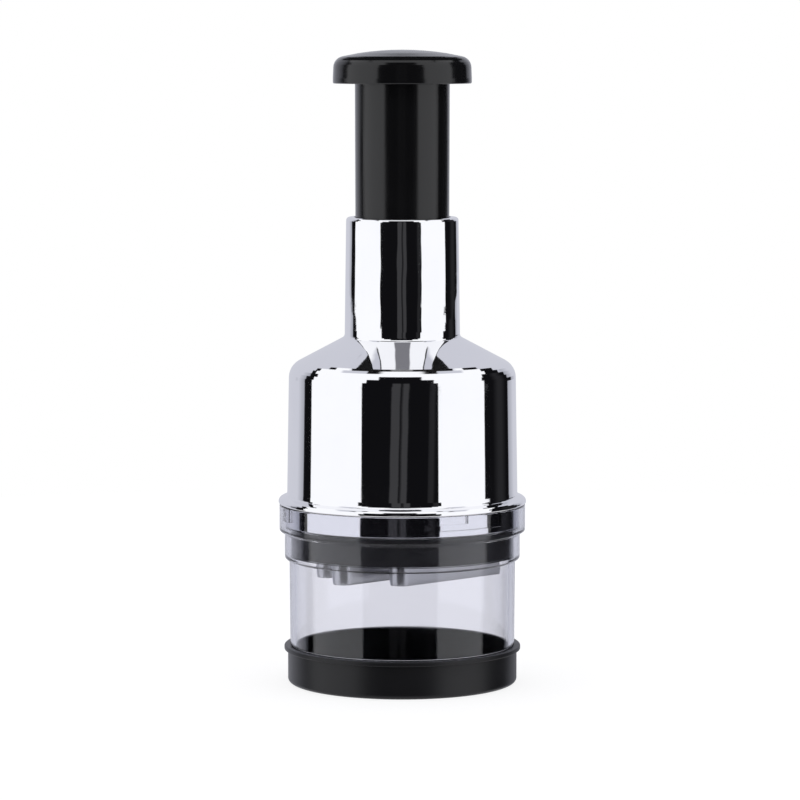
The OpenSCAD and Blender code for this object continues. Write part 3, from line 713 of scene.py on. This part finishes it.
# %% [markdown]
# ### Plastics and rubber
# The knob and the tube are glossy black, the cap is satin, and the wiper is a softer dark grey.
# What tells them apart is how rough they are and how coarse their grain is, far more than their
# colour. So one function makes them all, and each gets its own two tones, roughness and grain.


# %% Plastic maker
def plastic(name, dark, light, rough, grain_scale, grain_mm, wave_mm=0.0, ior=1.5):
    """Moulded plastic: drift of tone, grain, smears, and a ripple where it is glossy."""
    material, tree, shader = finish(name, dark, IOR=ior)
    grain = place(tree, mould_grain, Scale=grain_scale)
    smears = place(tree, handling)
    tone(tree, shader, grain.outputs["Tone"], dark, light)
    sharpness(tree, shader, smears.outputs["Mask"], rough)
    under = None
    if wave_mm:
        waves = place(tree, ripple)
        under = bump(tree, shader, waves.outputs["Height"], wave_mm)
    bump(tree, shader, grain.outputs["Height"], grain_mm, under=under)
    return material


print("plastic maker ready")

# %% Plastics that show
GLOSSY_DARK, GLOSSY_LIGHT = (0.0035, 0.0035, 0.0040), (0.0055, 0.0055, 0.0062)

knob_black = plastic(
    "knob_black", GLOSSY_DARK, GLOSSY_LIGHT, rough=(0.14, 0.20),
    grain_scale=1800.0, grain_mm=0.0010, wave_mm=0.03)
tube_black = plastic(
    "tube_black", GLOSSY_DARK, GLOSSY_LIGHT, rough=(0.15, 0.21),
    grain_scale=1500.0, grain_mm=0.0012, wave_mm=0.03)
base_black = plastic(
    "base_satin", (0.006, 0.006, 0.007), (0.010, 0.010, 0.012), rough=(0.34, 0.42),
    grain_scale=2600.0, grain_mm=0.008, ior=1.40)
wiper_grey = plastic(
    "wiper_grey", (0.034, 0.034, 0.038), (0.050, 0.050, 0.056), rough=(0.36, 0.46),
    grain_scale=2600.0, grain_mm=0.008)
print("plastics that show:", [m.name for m in (knob_black, tube_black, base_black, wiper_grey)])

# %% Plastics inside the housing
carrier_black = plastic(
    "carrier_black", (0.014, 0.014, 0.015), (0.022, 0.022, 0.024), rough=(0.40, 0.50),
    grain_scale=2400.0, grain_mm=0.010)
acetal = plastic(
    "acetal_natural", (0.74, 0.74, 0.70), (0.80, 0.80, 0.77), rough=(0.32, 0.42),
    grain_scale=2200.0, grain_mm=0.006)
cam_blue = plastic(
    "cam_blue", (0.060, 0.120, 0.260), (0.080, 0.155, 0.310), rough=(0.32, 0.42),
    grain_scale=2200.0, grain_mm=0.006)
rubber = plastic(
    "buffer_rubber", (0.018, 0.018, 0.018), (0.030, 0.030, 0.030), rough=(0.70, 0.85),
    grain_scale=3200.0, grain_mm=0.015)
print("plastics inside:", [m.name for m in (carrier_black, acetal, cam_blue, rubber)])

# %% [markdown]
# ### The board in the cap
# The cap's floor is the chopping board. Blades scuff it, so it is rougher than the wall and the
# lip round it. Its colour is also a little paler. It is one piece with the cap, so a second
# material would need a cut in the mesh. A mask of the distance from the axis does it with none,
# and the height keeps the mask off the cap's foot.

# %% Board
BOARD_EDGE, FOOT_END = (0.0385, 0.0390), (0.0005, 0.0010)
SCUFF_ROUGH, PALER_BOARD_COLOUR = 0.24, (0.026, 0.026, 0.029, 1)

tree = base_black.node_tree
shader = tree.nodes["Principled BSDF"]
on_cap = place_parts(tree)
squares = [calc(tree, "MULTIPLY", on_cap[axis], on_cap[axis]) for axis in "XY"]
from_axis = calc(tree, "SQRT", calc(tree, "ADD", *squares), label="distance from the axis")
inside = ranged(tree, from_axis, *BOARD_EDGE, 1.0, 0.0)
above = ranged(tree, on_cap["Z"], *FOOT_END)
board = calc(tree, "MULTIPLY", inside, above, "the board")
wall_rough = shader.inputs["Roughness"].links[0].from_socket
board_rough = calc(tree, "ADD", wall_rough, calc(tree, "MULTIPLY", board, SCUFF_ROUGH))
join(tree, board_rough, shader.inputs["Roughness"])
wall_colour = shader.inputs["Base Color"].links[0].from_socket
# a little paler colour inside the board's edge, rougher there too
paler_board = blended(tree, board, wall_colour, PALER_BOARD_COLOUR, "paler board")
join(tree, paler_board, shader.inputs["Base Color"])
print("board radius in mm:", BOARD_EDGE[0] / MM)

# %% [markdown]
# ### Steel
# The blade strip was rolled flat, so its marks run along it, which means they change quickly up
# the wall. The shaft was turned and the screws plated. The spring's wire was drawn through a die,
# and its marks follow the wire, so they change quickly round and up it.


# %% Steels
def steel(name, dark, light, rough, across, line_mm):
    """Bare steel: lines across the given directions, patches of tone."""
    material, tree, shader = finish(name, light, Metallic=1.0)
    marks = place(tree, drawn_lines, Across_X=across[0], Across_Y=across[1], Across_Z=across[2])
    tone(tree, shader, marks.outputs["Tone"], dark, light)
    sharpness(tree, shader, marks.outputs["Height"], rough)
    bump(tree, shader, marks.outputs["Height"], line_mm)
    return material


blade_steel = steel(
    "rolled_blade_steel", (0.62, 0.62, 0.64), (0.74, 0.74, 0.76), rough=(0.28, 0.44),
    across=(30.0, 30.0, 5000.0), line_mm=0.004)
shaft_steel = steel(
    "turned_steel", (0.56, 0.56, 0.57), (0.66, 0.66, 0.67), rough=(0.18, 0.32),
    across=(40.0, 40.0, 6000.0), line_mm=0.004)
screw_steel = steel(
    "plated_screw_steel", (0.58, 0.58, 0.60), (0.68, 0.68, 0.70), rough=(0.22, 0.36),
    across=(900.0, 900.0, 900.0), line_mm=0.003)
wire_steel = steel(
    "drawn_wire_steel", (0.50, 0.50, 0.52), (0.62, 0.62, 0.64), rough=(0.20, 0.36),
    across=(1200.0, 1200.0, 3000.0), line_mm=0.003)
print("steels:", [m.name for m in (blade_steel, shaft_steel, screw_steel, wire_steel)])

# %% [markdown]
# ## Put the finishes on the CAD nodes
# Most nodes keep their exact shape and only change their material. One table says which finish
# each node gets, so that a reader can find a piece at a glance. The blade strip and the spring
# are in it too, although finer meshes take their places below.

# %% Finishes for the CAD nodes
FINISHES = {
    "housing_shell": plating, "chopping_cup": clear, "base_cap": base_black,
    "plunger_knob": knob_black, "plunger_tube": tube_black, "wiper_disc": wiper_grey,
    "blade_carrier": carrier_black, "buffer_ring": rubber, "index_cam": cam_blue,
    "neck_bush": acetal, "guide_core": acetal, "lower_crown": acetal, "upper_crown": acetal,
    "core_cap": acetal, "spring_seat": screw_steel, "core_screws": screw_steel,
    "swivel_washer": screw_steel, "swivel_screw": screw_steel, "cam_pin": screw_steel,
    "carrier_screw": screw_steel, "drive_shaft": shaft_steel,
    "zigzag_blade": blade_steel, "return_spring": wire_steel,
}
for node_name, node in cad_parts.items():
    node.data.materials.clear()
    node.data.materials.append(FINISHES[node_name])
print("nodes with a finish:", len(FINISHES), "of", len(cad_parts))

# %% [markdown]
# ## The folded blade strip
# One steel ribbon is folded into a zigzag, so that a single stroke cuts in many directions. The
# CAD solid has few facets in its folds. Here the same line is walked in much finer steps, and
# the section gets a ground edge with a small second bevel, as a knife has. Bending a flat grid
# with a modifier would also work, but walking the line keeps the wall exactly vertical and
# exactly where the solid is.

# %% The strip's line
STRIP_T, FOLD_R, BLADE_R, BLADE_HEADING = 0.7, 4.0, 37.4, 50.9
STOPS = [
    (0.3, 49, 0), (5.1, 142, 1), (2, 27, -1), (0, 180, 1),
    (2, -27, -1), (5.1, -142, 1), (0.3, -49, 0),
]
FOLD_LINE_R = FOLD_R - STRIP_T / 2
FOLD_STEPS, LEG_STEP = 28, 2.5


def stop_point(i):
    """The middle of a fold, or an end of the strip. A stop is its inset, angle and side."""
    inset, angle, side = STOPS[i]
    r = BLADE_R - inset - (STRIP_T if side == 0 else FOLD_R)
    return r * math.cos(math.radians(angle)), r * math.sin(math.radians(angle))


def leg_heading(i):
    """The heading of the straight leg that touches the folds at stops i and i + 1."""
    (x0, y0), (x1, y1) = stop_point(i), stop_point(i + 1)
    shift = STOPS[i + 1][2] - STOPS[i][2]
    slant = math.asin(FOLD_LINE_R * shift / math.hypot(x1 - x0, y1 - y0))
    return math.degrees(math.atan2(y1 - y0, x1 - x0) - slant)


def fold(i):
    """The points round one fold, each as (x, y, heading)."""
    side, start = STOPS[i][2], leg_heading(i - 1)
    turn = side * ((side * (leg_heading(i) - start)) % 360)
    cx, cy = stop_point(i)
    points = []
    for k in range(FOLD_STEPS + 1):
        h = start + turn * k / FOLD_STEPS
        a = math.radians(h)
        out = side * FOLD_LINE_R
        points.append((cx + out * math.sin(a), cy - out * math.cos(a), h))
    return points


def strip_line():
    """The ribbon's middle as points (x, y, heading), in mm and degrees."""
    last = len(STOPS) - 1
    rough = [(*stop_point(0), leg_heading(0))]
    for i in range(1, last):
        rough += fold(i)
    rough.append((*stop_point(last), leg_heading(last - 1)))
    line = []
    for begin, end in zip(rough, rough[1:]):
        steps = max(1, int(math.hypot(end[0] - begin[0], end[1] - begin[1]) / LEG_STEP))
        line += [[a + (b - a) * k / steps for a, b in zip(begin, end)] for k in range(steps)]
    return line + [rough[-1]]


walk = strip_line()
print("points along the strip:", len(walk))


# %% Mesh helpers
def mesh_object(name, rows):
    """A closed skin over rows of points. Each row is a ring, and both ends are filled."""
    bm = bmesh.new()
    rings = [[bm.verts.new(p) for p in row] for row in rows]
    n = len(rings[0])
    for a, b in zip(rings, rings[1:]):
        for j in range(n):
            bm.faces.new((a[j], a[(j + 1) % n], b[(j + 1) % n], b[j]))
    bm.faces.new(reversed(rings[0]))
    bm.faces.new(rings[-1])
    bmesh.ops.recalc_face_normals(bm, faces=bm.faces)
    return plain_object(name, bm)


def soften(obj, angle_deg):
    """Smooth shading, with edges steeper than the angle kept sharp."""
    obj.data.shade_smooth()
    obj.data.set_sharp_from_angle(angle=math.radians(angle_deg))


print("mesh helpers ready")

# %% Section of the strip, as (offset from its middle, height) in mm
GRIND_H, FLAT_H = 1.5, 6
BEVEL_HALF, BEVEL_H, EDGE_HALF = 0.12, 0.28, 0.04

blade_low, blade_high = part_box("zigzag_blade")
z_edge, z_top = blade_low.z / MM, blade_high.z / MM
half = STRIP_T / 2
one_side = [
    (half, z_top), (half, z_edge + FLAT_H), (half, z_edge + GRIND_H),
    (BEVEL_HALF, z_edge + BEVEL_H), (EDGE_HALF, z_edge),
]
section = one_side + [(-off, z) for off, z in reversed(one_side)]
print("strip section:", len(section), "points,", STRIP_T, "mm thick")

# %% Build the strip
SHARP_STRIP = 25
turned = math.radians(BLADE_HEADING)


def strip_ring(x, y, heading_deg):
    """The section across one point of the line, turned to the blades' heading, in metres."""
    a = math.radians(heading_deg)
    ring = []
    for off, z in section:
        px, py = x - off * math.sin(a), y + off * math.cos(a)
        ring.append((
            (px * math.cos(turned) - py * math.sin(turned)) * MM,
            (px * math.sin(turned) + py * math.cos(turned)) * MM,
            z * MM))
    return ring


blade = mesh_object("blade_strip", [strip_ring(*point) for point in walk])
soften(blade, SHARP_STRIP)
blade.data.materials.append(blade_steel)
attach(blade, "blade_set")
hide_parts("zigzag_blade")
print("blade strip:", len(blade.data.vertices), "points, z", round(z_edge, 2), "to", round(z_top, 2))

# %% [markdown]
# ## The return spring
# A compression spring has closed turns at both ends, so that it stands flat, and open turns
# between them. The solid is a coarse hexagonal wire. This one has a round section. It shortens
# towards its seat as the plunger goes down. Here it rides on the housing.

# %% The spring's line
WIRE_D, SPRING_R, TURNS, CLOSED = 1.4, 11.0, 7, 1
CLOSED_GAP = 0.5

spring_low, spring_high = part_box("return_spring")
z_first = spring_low.z / MM + WIRE_D / 2
spring_h = spring_high.z / MM - WIRE_D / 2 - z_first
closed_pitch = WIRE_D + CLOSED_GAP
open_pitch = (spring_h - 2 * CLOSED * closed_pitch) / (TURNS - 2 * CLOSED)


def spring_z(t):
    """The height of the wire's middle after t turns, in mm."""
    if t < CLOSED:
        return z_first + t * closed_pitch
    if t > TURNS - CLOSED:
        return z_first + spring_h - (TURNS - t) * closed_pitch
    return z_first + CLOSED * closed_pitch + (t - CLOSED) * open_pitch


print("spring from z", round(z_first, 2), "mm, open pitch", round(open_pitch, 2), "mm")

# %% Build the spring
PER_TURN, SIDES, SHARP_WIRE = 36, 12, 50
climb = math.atan(open_pitch / (2 * math.pi * SPRING_R))


def wire_ring(i):
    """The wire's round section after i steps, square to the coil's climb, in metres."""
    a = 2 * math.pi * i / PER_TURN
    z = spring_z(i / PER_TURN)
    ring = []
    for k in range(SIDES):
        s = -2 * math.pi * k / SIDES
        out, rise = WIRE_D / 2 * math.cos(s), WIRE_D / 2 * math.sin(s)
        ring.append((
            ((SPRING_R + out) * math.cos(a) + rise * math.sin(a) * math.sin(climb)) * MM,
            ((SPRING_R + out) * math.sin(a) - rise * math.cos(a) * math.sin(climb)) * MM,
            (z + rise * math.cos(climb)) * MM))
    return ring


coil = mesh_object("spring_coil", [wire_ring(i) for i in range(TURNS * PER_TURN + 1)])
soften(coil, SHARP_WIRE)
coil.data.materials.append(wire_steel)
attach(coil, "housing")
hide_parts("return_spring")
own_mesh(coil)
print("spring:", len(coil.data.vertices), "points")
